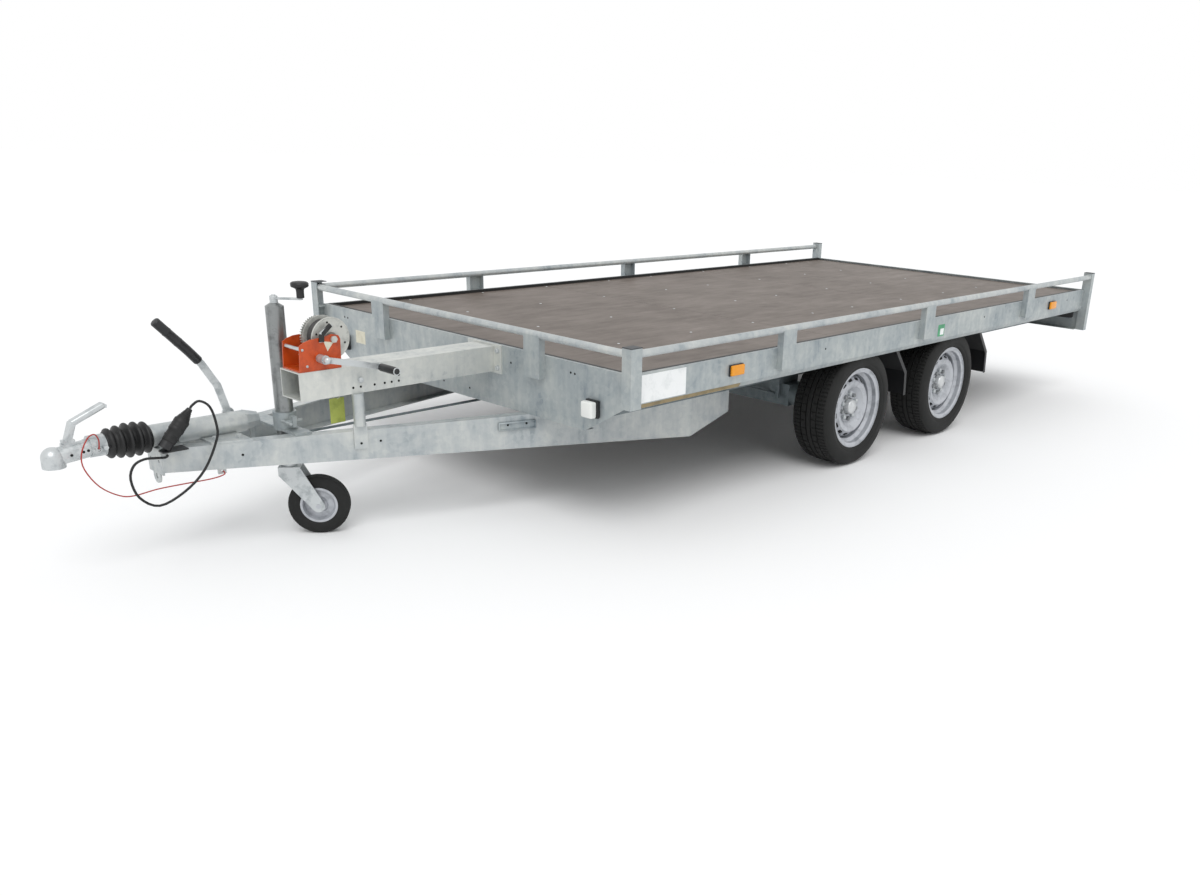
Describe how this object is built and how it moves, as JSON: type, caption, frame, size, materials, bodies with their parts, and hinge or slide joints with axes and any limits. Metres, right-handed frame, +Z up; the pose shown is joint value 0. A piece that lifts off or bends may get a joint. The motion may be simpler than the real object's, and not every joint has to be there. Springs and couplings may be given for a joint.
{
  "type": "car hauler trailer",
  "caption": "Flatbed car hauler trailer with tandem axles, low side rails and handrails, V drawbar with overrun brake coupling, hand winch and jockey wheel.",
  "frame": {"origin": "on the ground below the middle of the overall length and width", "axes": "+X forwards to the towing vehicle, +Y to the trailer's left, +Z up"},
  "size_m": [5.381, 2.002, 0.883],
  "materials": {
    "galvanised": "hot-dip galvanised, mottled and slightly streaked",
    "galvanised_dark": "weathered galvanised steel under the deck",
    "zinc_plated": "smooth bright zinc plating",
    "deck_ply": "film-faced plywood, brown grey, satin",
    "winch_orange": "orange powder coat",
    "winch_silver": "silver lacquer",
    "wheel_silver": "silver wheel lacquer",
    "drum_grey": "grey cast brake drum",
    "tyre_black": "black tyre rubber",
    "rubber_black": "black rubber",
    "plastic_black": "black plastic with a fine grain",
    "cap_grey": "dark grey plastic",
    "amber_lens": "amber lamp lens",
    "white_lens": "white lamp lens on a black base",
    "red_lens": "red lamp lens",
    "red_cable": "red coated steel cable"
  },
  "bodies": {
    "chassis": {"deck_panels": "deck_ply", "side_rail_left": "galvanised", "side_rail_right": "galvanised", "front_plate": "galvanised", "rear_sill": "galvanised", "cross_members": "galvanised_dark", "long_beams": "galvanised_dark", "corner_posts": "galvanised", "post_caps": "cap_grey", "stanchions": "galvanised", "handrail_left": "galvanised", "handrail_right": "galvanised", "handrail_front": "galvanised", "drawbar_left": "galvanised", "drawbar_right": "galvanised", "drawbar_nose": "galvanised", "winch_beam": "galvanised", "winch_post": "galvanised", "winch_frame": "winch_orange", "winch_fittings": "zinc_plated", "overrun_housing": "galvanised", "coupling_head": "zinc_plated", "coupling_handle": "zinc_plated", "bellows": "rubber_black", "brake_rods": "galvanised_dark", "jockey_clamp": "galvanised", "jockey_sleeve": "zinc_plated", "jockey_crank": "zinc_plated", "axle_front": "galvanised_dark", "axle_rear": "galvanised_dark", "mudguards": "plastic_black", "side_markers": "amber_lens", "front_lamps": "white_lens", "tail_lamps": "red_lens", "plug_holder": "plastic_black", "plug": "rubber_black", "plug_cable": "rubber_black", "breakaway_cable": "red_cable"},
    "wheel_front_left": {"tyre_front_left": "tyre_black", "rim_front_left": "wheel_silver", "hub_front_left": "drum_grey"},
    "wheel_front_right": {"tyre_front_right": "tyre_black", "rim_front_right": "wheel_silver", "hub_front_right": "drum_grey"},
    "wheel_rear_left": {"tyre_rear_left": "tyre_black", "rim_rear_left": "wheel_silver", "hub_rear_left": "drum_grey"},
    "wheel_rear_right": {"tyre_rear_right": "tyre_black", "rim_rear_right": "wheel_silver", "hub_rear_right": "drum_grey"},
    "winch_drum": {"winch_drum": "winch_silver"},
    "winch_crank": {"winch_crank": "zinc_plated"},
    "brake_lever": {"brake_lever": "zinc_plated"},
    "jockey_stem": {"jockey_stem": "zinc_plated"},
    "jockey_fork": {"jockey_fork": "zinc_plated"},
    "jockey_wheel": {"jockey_wheel_rim": "wheel_silver", "jockey_wheel_tyre": "tyre_black"}
  },
  "joints": [
    {"name": "wheel_front_left_spin", "type": "hinge", "parent": "chassis", "child": "wheel_front_left", "pos_m": [-0.32, 0.848, 0.2625], "axis": [0, 1, 0], "continuous": true},
    {"name": "wheel_front_right_spin", "type": "hinge", "parent": "chassis", "child": "wheel_front_right", "pos_m": [-0.32, -0.848, 0.2625], "axis": [0, 1, 0], "continuous": true},
    {"name": "wheel_rear_left_spin", "type": "hinge", "parent": "chassis", "child": "wheel_rear_left", "pos_m": [-1.136, 0.848, 0.2625], "axis": [0, 1, 0], "continuous": true},
    {"name": "wheel_rear_right_spin", "type": "hinge", "parent": "chassis", "child": "wheel_rear_right", "pos_m": [-1.136, -0.848, 0.2625], "axis": [0, 1, 0], "continuous": true},
    {"name": "winch_drum_turn", "type": "hinge", "parent": "chassis", "child": "winch_drum", "pos_m": [1.844, 0.19, 0.707], "axis": [0, 1, 0], "continuous": true},
    {"name": "winch_crank_turn", "type": "hinge", "parent": "chassis", "child": "winch_crank", "pos_m": [1.90057, 0.19, 0.65043], "axis": [0, 1, 0], "continuous": true},
    {"name": "brake_lever_pull", "type": "hinge", "parent": "chassis", "child": "brake_lever", "pos_m": [2.088, -0.05, 0.44], "axis": [0, 1, 0], "range_deg": [-45, 45]},
    {"name": "jockey_lift", "type": "slide", "parent": "chassis", "child": "jockey_stem", "axis": [0, 0, 1], "range_m": [-0.15, 0.04]},
    {"name": "jockey_swivel", "type": "hinge", "parent": "jockey_stem", "child": "jockey_fork", "pos_m": [1.94, 0.055, 0.25], "axis": [0, 0, 1], "continuous": true},
    {"name": "jockey_wheel_spin", "type": "hinge", "parent": "jockey_fork", "child": "jockey_wheel", "pos_m": [1.86908, 0.11041, 0.105], "axis": [-0.6157, -0.788, 0], "continuous": true}
  ],
  "couplings": [
    {"joint": "winch_crank_turn", "follows": "winch_drum_turn", "ratio": -4}
  ]
}
